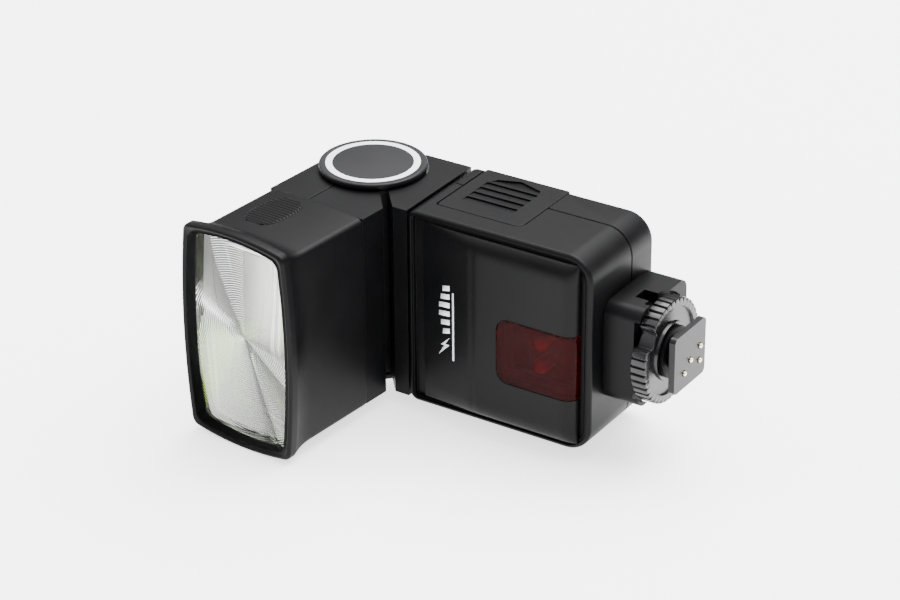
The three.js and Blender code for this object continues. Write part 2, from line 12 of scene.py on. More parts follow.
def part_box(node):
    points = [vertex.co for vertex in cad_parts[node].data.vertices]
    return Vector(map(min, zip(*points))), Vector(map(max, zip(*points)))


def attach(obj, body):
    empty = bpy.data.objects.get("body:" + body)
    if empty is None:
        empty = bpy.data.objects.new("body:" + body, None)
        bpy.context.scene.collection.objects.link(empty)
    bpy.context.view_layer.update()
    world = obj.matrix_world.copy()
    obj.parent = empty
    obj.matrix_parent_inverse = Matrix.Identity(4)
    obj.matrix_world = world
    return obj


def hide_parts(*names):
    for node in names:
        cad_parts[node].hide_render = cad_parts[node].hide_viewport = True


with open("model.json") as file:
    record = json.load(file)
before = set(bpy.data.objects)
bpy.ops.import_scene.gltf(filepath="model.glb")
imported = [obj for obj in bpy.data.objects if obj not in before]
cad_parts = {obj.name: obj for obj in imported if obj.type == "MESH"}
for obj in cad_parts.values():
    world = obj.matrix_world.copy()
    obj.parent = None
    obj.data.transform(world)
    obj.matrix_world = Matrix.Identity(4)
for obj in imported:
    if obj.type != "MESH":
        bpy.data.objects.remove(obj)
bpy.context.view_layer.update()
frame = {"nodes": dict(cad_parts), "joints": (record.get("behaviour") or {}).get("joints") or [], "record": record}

MM = 0.001

# ---- places taken from the frame ----
JOINTS = {j["name"]: j for j in frame["joints"]}
BODY_LO, BODY_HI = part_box("front_shell")
BODY_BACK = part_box("rear_shell")[1].y
PANEL_LO, PANEL_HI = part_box("front_panel")
WINDOW_LO, WINDOW_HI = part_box("af_window")
DOOR_LO, DOOR_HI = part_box("battery_door")
TILT = Vector(JOINTS["head_tilt"]["pos_m"])
MID_Z = TILT.z
ZOOM_AXIS = Vector(JOINTS["zoom_slide"]["axis"])
HEAD_TURN = math.atan2(ZOOM_AXIS.x, -ZOOM_AXIS.y)
HEAD_FRAME = Matrix.Translation(TILT) @ Matrix.Rotation(HEAD_TURN, 4, "Z")
BODY_OF = {n: b for b, nodes in frame["record"]["behaviour"]["bodies"].items() for n in nodes}

# ---- camera and light ----
AIM = Vector((-0.99, 1.61, 44.58)) * MM
AZIMUTH, ELEVATION, ROLL = 33.14, 27.88, 0.40
DISTANCE = 906.3 * MM
LENS = 121.36
FLOOR_HALF = 6.0
FLOOR_GLOW = 1.7
HORIZON, ZENITH = 0.05, 2.2  # the studio's brightness at its walls and at its ceiling
CLIMB = (0.1, 0.75)  # sine of the elevation where the brightness starts and stops rising


def add_camera():
    az, el = math.radians(AZIMUTH), math.radians(ELEVATION)
    back = Vector((math.sin(az) * math.cos(el), -math.cos(az) * math.cos(el), math.sin(el)))
    data = bpy.data.cameras.new("camera")
    data.lens = LENS
    data.sensor_width = 36
    data.clip_start = 0.01
    camera = bpy.data.objects.new("camera", data)
    bpy.context.scene.collection.objects.link(camera)
    turn = (-back).to_track_quat("-Z", "Y").to_matrix().to_4x4()
    roll = Matrix.Rotation(math.radians(-ROLL), 4, "Z")
    camera.matrix_world = Matrix.Translation(AIM + back * DISTANCE) @ turn @ roll
    bpy.context.scene.camera = camera


def add_area_light(name, place, target, size, power):
    data = bpy.data.lights.new(name, "AREA")
    data.shape = "RECTANGLE"
    data.size, data.size_y = size
    data.energy = power
    light = bpy.data.objects.new(name, data)
    bpy.context.scene.collection.objects.link(light)
    place = Vector(place)
    turn = (Vector(target) - place).to_track_quat("-Z", "Y").to_matrix().to_4x4()
    light.matrix_world = Matrix.Translation(place) @ turn


def add_stage():
    mesh = bpy.data.meshes.new("floor")
    corners = [(-FLOOR_HALF, -FLOOR_HALF, 0), (FLOOR_HALF, -FLOOR_HALF, 0), (FLOOR_HALF, FLOOR_HALF, 0)]
    corners.append((-FLOOR_HALF, FLOOR_HALF, 0))
    mesh.from_pydata(corners, [], [(0, 1, 2, 3)])
    floor = bpy.data.objects.new("floor", mesh)
    bpy.context.scene.collection.objects.link(floor)
    material, shader = new_material("floor_paper", (0.9, 0.9, 0.905), 0.9, specular=0.2)
    shader.inputs["Emission Color"].default_value = (1.0, 1.0, 1.0, 1)
    shader.inputs["Emission Strength"].default_value = FLOOR_GLOW
    mesh.materials.append(material)
    world = bpy.data.worlds.new("studio")
    world.use_nodes = True
    nodes, links = world.node_tree.nodes, world.node_tree.links
    direction = nodes.new("ShaderNodeTexCoord")
    split = nodes.new("ShaderNodeSeparateXYZ")
    links.new(direction.outputs["Generated"], split.inputs["Vector"])
    climb = nodes.new("ShaderNodeMapRange")
    climb.interpolation_type = "SMOOTHSTEP"
    climb.inputs["From Min"].default_value = CLIMB[0]
    climb.inputs["From Max"].default_value = CLIMB[1]
    climb.inputs["To Min"].default_value = HORIZON
    climb.inputs["To Max"].default_value = ZENITH
    links.new(split.outputs["Z"], climb.inputs["Value"])
    background = nodes["Background"]
    background.inputs["Color"].default_value = (1.0, 1.0, 1.0, 1)
    links.new(climb.outputs["Result"], background.inputs["Strength"])
    bpy.context.scene.world = world
    add_area_light("top_soft", (0.1, 0.5, 1.3), (0, 0, 0), (1.6, 1.2), 80)
    add_area_light("left_soft", (-1.1, -0.3, 0.9), (0, 0, 0.03), (0.8, 0.8), 6)


# ---- materials ----
NOISE_SPAN = (0.3, 0.7)  # the part of a noise texture's range that its values mostly fill


def new_material(name, colour, roughness, metallic=0.0, specular=0.5):
    material = bpy.data.materials.new(name)
    material.use_nodes = True
    shader = material.node_tree.nodes["Principled BSDF"]
    shader.inputs["Base Color"].default_value = (*colour, 1)
    shader.inputs["Roughness"].default_value = roughness
    shader.inputs["Metallic"].default_value = metallic
    shader.inputs["Specular IOR Level"].default_value = specular
    return material, shader


def noise(material, scale, detail):
    nodes, links = material.node_tree.nodes, material.node_tree.links
    place = nodes.get("place") or nodes.new("ShaderNodeTexCoord")
    place.name = "place"
    texture = nodes.new("ShaderNodeTexNoise")
    texture.inputs["Scale"].default_value = scale
    texture.inputs["Detail"].default_value = detail
    texture.inputs["Roughness"].default_value = 0.5
    links.new(place.outputs["Object"], texture.inputs["Vector"])
    return texture


def ranged(material, source, low, high, target):
    """Sends a 0 to 1 value to a shader socket, stretched to the range low to high."""
    nodes, links = material.node_tree.nodes, material.node_tree.links
    spread = nodes.new("ShaderNodeMapRange")
    spread.inputs["From Min"].default_value = NOISE_SPAN[0]
    spread.inputs["From Max"].default_value = NOISE_SPAN[1]
    spread.inputs["To Min"].default_value = low
    spread.inputs["To Max"].default_value = high
    links.new(source, spread.inputs["Value"])
    links.new(spread.outputs["Result"], target)


def tinted(material, shader, source, dark, light):
    nodes, links = material.node_tree.nodes, material.node_tree.links
    ramp = nodes.new("ShaderNodeValToRGB")
    ramp.color_ramp.elements[0].position = NOISE_SPAN[0]
    ramp.color_ramp.elements[1].position = NOISE_SPAN[1]
    ramp.color_ramp.elements[0].color = (*dark, 1)
    ramp.color_ramp.elements[1].color = (*light, 1)
    links.new(source, ramp.inputs["Fac"])
    links.new(ramp.outputs["Color"], shader.inputs["Base Color"])


def bumped(material, shader, height, strength, distance):
    nodes, links = material.node_tree.nodes, material.node_tree.links
    bump = nodes.new("ShaderNodeBump")
    bump.inputs["Strength"].default_value = strength
    bump.inputs["Distance"].default_value = distance
    links.new(height, bump.inputs["Height"])
    links.new(bump.outputs["Normal"], shader.inputs["Normal"])


def moulded(name, dark, light, rough_low, rough_high, grain=2600, depth=0.25, specular=0.5):
    """Moulded plastic: a fine spark-eroded grain, and slow drifts of colour and gloss."""
    material, shader = new_material(name, light, rough_high, specular=specular)
    fine = noise(material, grain, 3.0)
    slow = noise(material, 60, 3.0)
    tinted(material, shader, slow.outputs["Fac"], dark, light)
    ranged(material, slow.outputs["Fac"], rough_low, rough_high, shader.inputs["Roughness"])
    bumped(material, shader, fine.outputs["Fac"], depth, 0.00005)
    return material


def metal(name, colour, rough_low, rough_high, scale=900):
    material, shader = new_material(name, colour, rough_high, metallic=1.0)
    fine = noise(material, scale, 3.0)
    ranged(material, fine.outputs["Fac"], rough_low, rough_high, shader.inputs["Roughness"])
    bumped(material, shader, fine.outputs["Fac"], 0.08, 0.00003)
    return material


def clear_plastic(name, colour, roughness, transmission=1.0, ior=1.49, specular=0.5):
    material, shader = new_material(name, colour, roughness, specular=specular)
    shader.inputs["Transmission Weight"].default_value = transmission
    shader.inputs["IOR"].default_value = ior
    slow = noise(material, 300, 2.0)
    ranged(material, slow.outputs["Fac"], roughness * 0.8, roughness * 1.2, shader.inputs["Roughness"])
    return material


# Painted reflection and shade up the head's lining, from its base (0) to its top (1): on its left side, and on the
# rest.
PAINTED_REFLECTION_LEFT = (
    (0.0, (0.1, 0.11, 0.07)), (0.16, (0.3, 0.46, 0.03)), (0.4, (0.26, 0.41, 0.02)),
    (0.52, (0.02, 0.022, 0.014)), (1.0, (0.022, 0.023, 0.018)),
)
PAINTED_SHADE_REST = ((0.05, (0.3, 0.31, 0.26)), (0.45, (0.85, 0.85, 0.82)))


def colour_ramp(nodes, stops):
    ramp = nodes.new("ShaderNodeValToRGB")
    elements = ramp.color_ramp.elements
    elements[0].position, elements[0].color = stops[0][0], (*stops[0][1], 1)
    elements[1].position, elements[1].color = stops[-1][0], (*stops[-1][1], 1)
    for position, colour in stops[1:-1]:
        elements.new(position).color = (*colour, 1)
    return ramp


def funnel_material():
    """Bright plated plastic with reflection and shade painted into its colour: a yellow-green painted reflection
    low on its left side, a dark painted reflection above it, and painted shade towards the base on the rest.
    """
    material, shader = new_material("funnel_painted_reflection", (0.8, 0.8, 0.78), 0.2, metallic=0.9)
    nodes, links = material.node_tree.nodes, material.node_tree.links
    fine = noise(material, 500, 3.0)
    ranged(material, fine.outputs["Fac"], 0.16, 0.26, shader.inputs["Roughness"])
    split = nodes.new("ShaderNodeSeparateXYZ")
    links.new(nodes["place"].outputs["Object"], split.inputs["Vector"])
    height = nodes.new("ShaderNodeMapRange")
    height.inputs["From Min"].default_value = 4 * MM
    height.inputs["From Max"].default_value = 68 * MM
    links.new(split.outputs["Z"], height.inputs["Value"])
    # The base colour is painted light: it follows the height and the left side of the head, not the plating.
    left = colour_ramp(nodes, PAINTED_REFLECTION_LEFT)
    links.new(height.outputs["Result"], left.inputs["Fac"])
    side = nodes.new("ShaderNodeMapRange")
    side.inputs["From Min"].default_value = TILT.x - 6 * MM
    side.inputs["From Max"].default_value = TILT.x - 14 * MM
    links.new(split.outputs["X"], side.inputs["Value"])
    mix = nodes.new("ShaderNodeMix")
    mix.data_type = "RGBA"
    rest = colour_ramp(nodes, PAINTED_SHADE_REST)
    links.new(height.outputs["Result"], rest.inputs["Fac"])
    links.new(rest.outputs["Color"], mix.inputs["A"])
    links.new(side.outputs["Result"], mix.inputs["Factor"])
    links.new(left.outputs["Color"], mix.inputs["B"])
    links.new(mix.outputs["Result"], shader.inputs["Base Color"])
    return material


# Moulded plastics: dark and light colour, low and high roughness, and settings other than the usual.
MOULDED = {
    "casing_black": ((0.0016, 0.0016, 0.0019), (0.0024, 0.0024, 0.0028), 0.38, 0.46, {"specular": 0.09}),
    "inner_black": ((0.003, 0.003, 0.003), (0.005, 0.005, 0.005), 0.5, 0.6, {"specular": 0.2}),
    "cap_grey": ((0.007, 0.007, 0.008), (0.0095, 0.0095, 0.0105), 0.44, 0.5, {"specular": 0.16}),
    "ring_white": ((0.72, 0.72, 0.77), (0.8, 0.8, 0.85), 0.35, 0.45, {"depth": 0.1}),
    "foot_grey": ((0.0035, 0.0035, 0.004), (0.005, 0.005, 0.0056), 0.24, 0.32, {"specular": 0.2}),
    "wheel_gloss": (
        (0.003, 0.003, 0.0035), (0.005, 0.005, 0.0055), 0.2, 0.3, {"depth": 0.08, "specular": 0.35},
    ),
    "button_grey": ((0.007, 0.007, 0.008), (0.0095, 0.0095, 0.011), 0.4, 0.5, {"specular": 0.2}),
    "board_green": ((0.01, 0.08, 0.03), (0.02, 0.12, 0.05), 0.35, 0.45, {}),
    "cell_wrap": ((0.03, 0.06, 0.18), (0.05, 0.09, 0.25), 0.25, 0.35, {"depth": 0.05}),
    "capacitor_sleeve": ((0.015, 0.02, 0.09), (0.02, 0.03, 0.12), 0.3, 0.4, {"depth": 0.05}),
}


def make_materials():
    made = {name: moulded(name, *look, **extra) for name, (*look, extra) in MOULDED.items()}
    made["window_red"] = clear_plastic("window_red", (0.3, 0.001, 0.005), 0.08, 0.97, 1.12, 0.06)
    made["lamp_red"] = clear_plastic("lamp_red", (0.6, 0.02, 0.015), 0.12, 0.5)
    made["fresnel_clear"] = clear_plastic("fresnel_clear", (0.97, 0.99, 0.96), 0.03)
    made["tube_glass"] = clear_plastic("tube_glass", (0.95, 0.95, 0.95), 0.03)
    made["reflector_bright"] = metal("reflector_bright", (0.93, 0.93, 0.9), 0.08, 0.16, 300)
    made["steel"] = metal("steel", (0.6, 0.6, 0.62), 0.25, 0.38)
    made["pin_gold"] = metal("pin_gold", (0.9, 0.78, 0.58), 0.16, 0.26)
    made["funnel_painted_reflection"] = funnel_material()
    return made


SLOT_OF = {p["node"]: p["material_slot"] for p in frame["record"]["subparts"]}


# ---- mesh helpers ----
def new_object(name, bm, slot, body, nodes=(), transform=None, material=None):
    bmesh.ops.recalc_face_normals(bm, faces=bm.faces)
    if transform is not None:
        bm.transform(transform)
    mesh = bpy.data.meshes.new(name)
    bm.to_mesh(mesh)
    bm.free()
    for polygon in mesh.polygons:
        polygon.use_smooth = True
    mesh.materials.append(MATERIALS[material or slot])
    piece = bpy.data.objects.new(name, mesh)
    bpy.context.scene.collection.objects.link(piece)
    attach(piece, body)
    if nodes:
        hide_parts(*nodes)
    return piece


def add_bevel(piece, width, segments=3, angle=35):
    bevel = piece.modifiers.new("bevel", "BEVEL")
    bevel.width = width
    bevel.segments = segments
    bevel.limit_method = "ANGLE"
    bevel.angle_limit = math.radians(angle)
    bevel.use_clamp_overlap = True
    bevel.harden_normals = False
    add_weighted(piece)


def add_weighted(piece):
    weighted = piece.modifiers.new("weighted", "WEIGHTED_NORMAL")
    weighted.keep_sharp = True
    weighted.weight = 80


def split_edges(piece, angle):
    """Keeps smooth shading off every edge sharper than the angle."""
    split = piece.modifiers.new("edges", "EDGE_SPLIT")
    split.split_angle = math.radians(angle)


def soften(node, width):
    """A copy of a CAD node with its flat triangles joined and its edges rounded."""
    bm = bmesh.new()
    bm.from_mesh(frame["nodes"][node].data)
    bmesh.ops.remove_doubles(bm, verts=bm.verts, dist=2e-6)
    bmesh.ops.dissolve_limit(bm, angle_limit=math.radians(0.6), verts=bm.verts, edges=bm.edges)
    piece = new_object(node + "_fine", bm, SLOT_OF[node], BODY_OF[node], (node,))
    add_bevel(piece, width)


def rounded(u0, u1, v0, v1, inset, radii, steps=8):
    """Points round a rectangle, with a radius for each corner: low-low, high-low, high-high, low-high."""
    u0, u1, v0, v1 = u0 + inset, u1 - inset, v0 + inset, v1 - inset
    corners = [(u0, v0, 180, 1, 1), (u1, v0, 270, -1, 1), (u1, v1, 0, -1, -1), (u0, v1, 90, 1, -1)]
    points = []
    for (u, v, start, su, sv), radius in zip(corners, radii):
        r = max(radius - inset, 0.00012)
        for i in range(steps + 1):
            angle = math.radians(start + 90 * i / steps)
            points.append((u + su * r + r * math.cos(angle), v + sv * r + r * math.sin(angle)))
    return points


def bridge(bm, loops, cap_first=True, cap_last=True):
    rows = [[bm.verts.new(p) for p in loop] for loop in loops]
    count = len(rows[0])
    for a, b in zip(rows, rows[1:]):
        for i in range(count):
            j = (i + 1) % count
            bm.faces.new((a[i], a[j], b[j], b[i]))
    if cap_first:
        bm.faces.new(rows[0])
    if cap_last:
        bm.faces.new(rows[-1][::-1])
    return rows


def quarter(radius, steps=5):
    """Steps of a rounded edge as (distance along the wall, inset), from the wall to the face."""
    return [
        (radius * (1 - math.sin(math.pi / 2 * i / steps)), radius * (1 - math.cos(math.pi / 2 * i / steps)))
        for i in range(steps + 1)
    ]


def circle(radius, steps):
    turns = [2 * math.pi * i / steps for i in range(steps)]
    return [(radius * math.cos(turn), radius * math.sin(turn)) for turn in turns]


def lathe(points, steps):
    """Turns (radius, height) points round Z; the profile closes on itself or ends on the axis."""
    bm = bmesh.new()
    closed = points[0][0] > 1e-9
    rings = []
    for r, z in points:
        if r < 1e-9:
            rings.append([bm.verts.new((0, 0, z))])
        else:
            rings.append([bm.verts.new((u, v, z)) for u, v in circle(r, steps)])
    pairs = list(zip(rings, rings[1:]))
    if closed:
        pairs.append((rings[-1], rings[0]))
    for a, b in pairs:
        for i in range(steps):
            j = (i + 1) % steps
            corners = [a[i % len(a)], a[j % len(a)], b[j % len(b)], b[i % len(b)]]
            kept = list(dict.fromkeys(corners))
            if len(kept) > 2:
                bm.faces.new(kept)
    return bm


def carve(piece, cutter, operation="DIFFERENCE"):
    """Cuts one mesh with another, applied at once; the cutter is used up."""
    modifier = piece.modifiers.new("carve", "BOOLEAN")
    modifier.operation = operation
    modifier.solver = "EXACT"
    modifier.object = cutter
    bpy.context.view_layer.update()
    evaluated = piece.evaluated_get(bpy.context.evaluated_depsgraph_get())
    mesh = bpy.data.meshes.new_from_object(evaluated)
    piece.modifiers.remove(modifier)
    old = piece.data
    piece.data = mesh
    mesh.name = piece.name
    bpy.data.meshes.remove(old)
    bpy.data.objects.remove(cutter)
    for polygon in mesh.polygons:
        polygon.use_smooth = True


def cutter_from(bm):
    bmesh.ops.recalc_face_normals(bm, faces=bm.faces)
    mesh = bpy.data.meshes.new("cutter")
    bm.to_mesh(mesh)
    bm.free()
    cutter = bpy.data.objects.new("cutter", mesh)
    bpy.context.scene.collection.objects.link(cutter)
    return cutter


def prism(outline, axis, low, high):
    """A closed prism: the outline in the other two coordinates, in order, pushed along an axis."""
    def placed(u, v, w):
        return {"x": (w, u, v), "y": (u, w, v), "z": (u, v, w)}[axis]

    bm = bmesh.new()
    bridge(bm, [[placed(u, v, low) for u, v in outline], [placed(u, v, high) for u, v in outline]])
    return bm


# ---- the body's casing ----
WALL = 2 * MM
BODY_RADII = (3 * MM, 8.5 * MM, 8.5 * MM, 3 * MM)
FRONT_Y = BODY_LO.y
SEAM_Y = BODY_HI.y
RIM_INSET = 2.3 * MM
SEAT = 1.2 * MM
CUT_FREE = 5 * MM  # how far a cutter reaches past what it cuts
SEAM_EDGE = 0.22 * MM  # the broken edge at each side of the seam between the shells


def body_loop(y, inset, radii=BODY_RADII):
    points = rounded(BODY_LO.x, BODY_HI.x, BODY_LO.z, BODY_HI.z, inset, radii, 12)
    return [(x, y, z) for x, z in points]


def door_cutter():
    gap = 0.3 * MM
    x0, x1 = DOOR_LO.x - gap, DOOR_HI.x + gap
    radii = (1.4 * MM, 3.1 * MM, 1 * MM, 1 * MM)
    outline = rounded(x0, x1, DOOR_LO.y - gap, BODY_BACK + 20 * MM, 0, radii, 6)
    return cutter_from(prism(outline, "z", BODY_HI.z - 3 * MM, BODY_HI.z + CUT_FREE))


def lip_cutter():
    gap = 0.3 * MM
    x0, x1 = DOOR_LO.x - gap, DOOR_HI.x + gap
    outline = rounded(x0, x1, DOOR_LO.z - gap, BODY_HI.z + CUT_FREE, 0, (0.8 * MM,) * 4, 6)
    return cutter_from(prism(outline, "y", BODY_BACK - 3 * MM, BODY_BACK + CUT_FREE))


def build_front_shell():
    """Inside wall, seam edge, outside wall, rounded rim, then the groove that the panel sits in."""
    loops = [body_loop(FRONT_Y + SEAT + WALL, WALL), body_loop(SEAM_Y, WALL), body_loop(SEAM_Y, SEAM_EDGE)]
    loops.append(body_loop(SEAM_Y - SEAM_EDGE, 0))
    edge = 1.3 * MM
    loops += [body_loop(FRONT_Y + d, inset) for d, inset in quarter(edge, 7)]
    lip = 0.7 * MM
    inner = [(lip - a, RIM_INSET - b) for b, a in quarter(lip)]
    loops += [body_loop(FRONT_Y + max(d, 0), inset) for d, inset in inner]
    loops += [body_loop(FRONT_Y + SEAT, RIM_INSET)]
    bm = bmesh.new()
    bridge(bm, loops)
    piece = new_object("front_casing", bm, "casing_black", "flash_body", ("front_shell",))
    carve(piece, door_cutter())
    light = prism(
        rounded(WINDOW_LO.x, WINDOW_HI.x, WINDOW_LO.z, WINDOW_HI.z, 3 * MM, (1 * MM,) * 4, 3),
        "y", FRONT_Y - 1 * MM, FRONT_Y + 6 * MM,
    )
    carve(piece, cutter_from(light))
    add_bevel(piece, 0.2 * MM, 2, 50)


def build_rear_shell():
    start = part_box("rear_shell")[0].y
    loops = [body_loop(BODY_BACK - WALL, WALL), body_loop(start, WALL), body_loop(start, SEAM_EDGE)]
    loops.append(body_loop(start + SEAM_EDGE, 0))
    edge = 2.2 * MM
    loops += [body_loop(BODY_BACK - d, inset) for d, inset in quarter(edge, 8)]
    loops.append(body_loop(BODY_BACK, edge + 0.05 * MM))
    bm = bmesh.new()
    bridge(bm, loops)
    piece = new_object("rear_casing", bm, "casing_black", "flash_body", ("rear_shell",))
    carve(piece, door_cutter())
    carve(piece, lip_cutter())
    lo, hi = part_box("control_panel")
    pocket = rounded(lo.x, hi.x, lo.z, hi.z, -0.3 * MM, (1.2 * MM,) * 4, 5)
    carve(piece, cutter_from(prism(pocket, "y", BODY_BACK - 0.8 * MM, BODY_BACK + CUT_FREE)))
    opening = rounded(lo.x, hi.x, lo.z, hi.z, 3 * MM, (1 * MM,) * 4, 3)
    carve(piece, cutter_from(prism(opening, "y", BODY_BACK - CUT_FREE, BODY_BACK + CUT_FREE)))
    for i in range(1, 5):
        lo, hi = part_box(f"case_screw_{i}")
        middle = (lo + hi) / 2
        for radius, depth in ((2.5 * MM, 1.2 * MM), (1.4 * MM, 6 * MM)):
            hole = lathe([(0, -depth), (radius, -depth), (radius, 3 * MM), (0, 3 * MM)], 32)
            outward = Matrix.Rotation(math.radians(-90), 4, "X")
            hole.transform(Matrix.Translation((middle.x, BODY_BACK, middle.z)) @ outward)
            carve(piece, cutter_from(hole))
    rails_lo, rails_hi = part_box("door_slide_frame")
    clear = 0.4 * MM
    z0, z1 = rails_lo.z - clear, rails_hi.z + clear
    for x0, x1 in ((rails_lo.x - clear, DOOR_LO.x), (DOOR_HI.x, rails_hi.x + clear)):
        outline = [(x0, z0), (x1, z0), (x1, z1), (x0, z1)]
        carve(piece, cutter_from(prism(outline, "y", BODY_BACK - CUT_FREE, BODY_BACK + CUT_FREE)))
    split_edges(piece, 30)


# ---- front panel and its window ----
CREASE_X = PANEL_LO.x + 19.1 * MM
CREASE_SOFT = 0.9 * MM
PANEL_SIDE = 6.0 * MM  # width of the rounded long edges
PANEL_END = 4.6 * MM  # width of the rounded end beside the window


def panel_height(x, z):
    """How far the panel's face stands in front of its back, rounded off at its edges."""
    base = PANEL_HI.y - FRONT_Y
    low = base * 0.5
    full = PANEL_HI.y - PANEL_LO.y
    climb = min(1.0, (x - PANEL_LO.x) / (CREASE_X - PANEL_LO.x))
    climb -= 0.06 * math.exp(-((x - CREASE_X) / CREASE_SOFT) ** 2)
    height = base + (full - base) * max(climb, 0)
    for distance, width in (
        (PANEL_HI.x - x, PANEL_END), (PANEL_HI.z - z, PANEL_SIDE), (z - PANEL_LO.z, PANEL_SIDE),
    ):
        if distance < width:
            t = 1 - max(distance, 0) / width
            height = low + (height - low) * math.sqrt(max(0, 1 - t * t))
    return height


def spaced(low, high, edge, coarse=22, fine=9):
    """Places from low to high, closer together near both ends."""
    ends = [edge * (i / fine) ** 1.7 for i in range(fine)]
    middle = [low + edge + (high - low - 2 * edge) * i / coarse for i in range(coarse + 1)]
    return [low + e for e in ends] + middle + [high - e for e in reversed(ends)]


def panel_block():
    xs = spaced(PANEL_LO.x, PANEL_HI.x, 4.5 * MM, 60, 12)
    zs = spaced(PANEL_LO.z, PANEL_HI.z, 5.6 * MM, 30, 12)
    bm = bmesh.new()
    top = [[bm.verts.new((x, PANEL_HI.y - panel_height(x, z), z)) for z in zs] for x in xs]
    back = [[bm.verts.new((x, PANEL_HI.y, z)) for z in zs] for x in xs]
    nx, nz = len(xs), len(zs)
    for i in range(nx - 1):
        for j in range(nz - 1):
            bm.faces.new((top[i][j], top[i][j + 1], top[i + 1][j + 1], top[i + 1][j]))
            bm.faces.new((back[i][j], back[i + 1][j], back[i + 1][j + 1], back[i][j + 1]))
    for j in range(nz - 1):
        bm.faces.new((top[0][j], back[0][j], back[0][j + 1], top[0][j + 1]))
        bm.faces.new((top[-1][j], top[-1][j + 1], back[-1][j + 1], back[-1][j]))
    for i in range(nx - 1):
        bm.faces.new((top[i][0], top[i + 1][0], back[i + 1][0], back[i][0]))
        bm.faces.new((top[i][-1], back[i][-1], back[i + 1][-1], top[i + 1][-1]))
    return bm


def window_prism(grow):
    outline = rounded(
        WINDOW_LO.x, PANEL_HI.x + 20 * MM, WINDOW_LO.z, WINDOW_HI.z, -grow,
        (4 * MM, 1 * MM, 1 * MM, 4 * MM), 8,
    )
    return cutter_from(prism(outline, "y", PANEL_LO.y - CUT_FREE, PANEL_HI.y + CUT_FREE))


def build_panel():
    piece = new_object("front_cover", panel_block(), "casing_black", "flash_body", ("front_panel",))
    carve(piece, window_prism(0.25 * MM))
    add_bevel(piece, 0.12 * MM, 2, 50)


def build_window():
    piece = new_object("af_window_fine", panel_block(), "window_red", "flash_body", ("af_window",))
    carve(piece, window_prism(0), "INTERSECT")
    wall = 1.3 * MM
    radii = (2.5 * MM, 1 * MM, 1 * MM, 2.5 * MM)
    hollow = rounded(WINDOW_LO.x, WINDOW_HI.x, WINDOW_LO.z, WINDOW_HI.z, wall, radii, 6)
    carve(piece, cutter_from(prism(hollow, "y", PANEL_LO.y + wall, PANEL_HI.y + CUT_FREE)))
    add_bevel(piece, 0.15 * MM, 2, 50)


def panel_print(name, outline):
    """A flat printed shape on the panel's slope, from its outline in (x, z)."""
    ink = 0.04 * MM
    face = [(x, PANEL_HI.y - panel_height(x, z), z) for x, z in outline]
    bm = bmesh.new()
    bridge(bm, [[(x, y + ink, z) for x, y, z in face], [(x, y - ink, z) for x, y, z in face]])
    new_object(name, bm, "ring_white", "flash_body")


def build_mark():
    """A plain stand-in for the maker's print: a spark and a row of bars, with a thin line beside them."""
    x0, x1 = PANEL_LO.x + 5.8 * MM, PANEL_LO.x + 10.4 * MM
    low, high = MID_Z - 13 * MM, MID_Z + 12 * MM
    spark = [(0, 0.2), (0.5, 3.9), (0.2, 3.9), (1.0, 7.4), (0.6, 4.7), (0.95, 4.7)]
    width = x1 - x0
    panel_print("mark_spark", [(x0 + u * width, low + v * MM) for u, v in spark])
    first, pitch, thick, slant = low + 8 * MM, 2.9 * MM, 1.7 * MM, 0.8 * MM
    count = int((high - first) / pitch) + 1
    for i in range(count):
        z = first + i * pitch
        inset = 0.16 * width * abs(i - (count - 1) / 2)
        outline = [(x0 + inset, z), (x1, z + slant), (x1, z + slant + thick), (x0 + inset, z + thick)]
        panel_print(f"mark_bar_{i + 1}", outline)
    line_x0, line_x1, line_top = x1 + 1.0 * MM, x1 + 1.7 * MM, high - 2 * MM
    panel_print("mark_line", [(line_x0, low), (line_x1, low), (line_x1, line_top), (line_x0, line_top)])


# ---- battery door ----
def ramp_cutter(shallow, deep, depth):
    """A wedge that leaves the door's face along the shallow points and is deepest at the deep ones."""
    top = DOOR_HI.z
    outline = shallow + deep
    floor = [(x, y, top + 0.01 * MM) for x, y in shallow] + [(x, y, top - depth) for x, y in deep]
    bm = bmesh.new()
    bridge(bm, [floor, [(x, y, top + 2 * MM) for x, y in outline]])
    return cutter_from(bm)


def door_ridges():
    """Cutters for the grip: four ramps, then one with a peaked end that points to the back."""
    x0, x1 = DOOR_LO.x + 4.9 * MM, DOOR_LO.x + 22.9 * MM
    start, pitch, run, depth = DOOR_LO.y + 9.6 * MM, 3.8 * MM, 3.3 * MM, 0.55 * MM
    cutters = []
    for i in range(4):
        y = start + i * pitch
        cutters.append(ramp_cutter([(x0, y - run), (x1, y - run)], [(x1, y), (x0, y)], depth))
    base = start + 3 * pitch + 0.4 * MM
    eave, peak = base + 2.5 * MM, base + 5 * MM
    roof = [(x1 - 0.9 * MM, eave), ((x0 + x1) / 2, peak), (x0 + 2 * MM, eave)]
    cutters.append(ramp_cutter([(x0 + 0.6 * MM, base), (x1, base)], roof, depth))
    return cutters


DOOR_THICK = 1.8 * MM
DOOR_RADII = (1.2 * MM, 2.8 * MM, 0.8 * MM, 0.8 * MM)


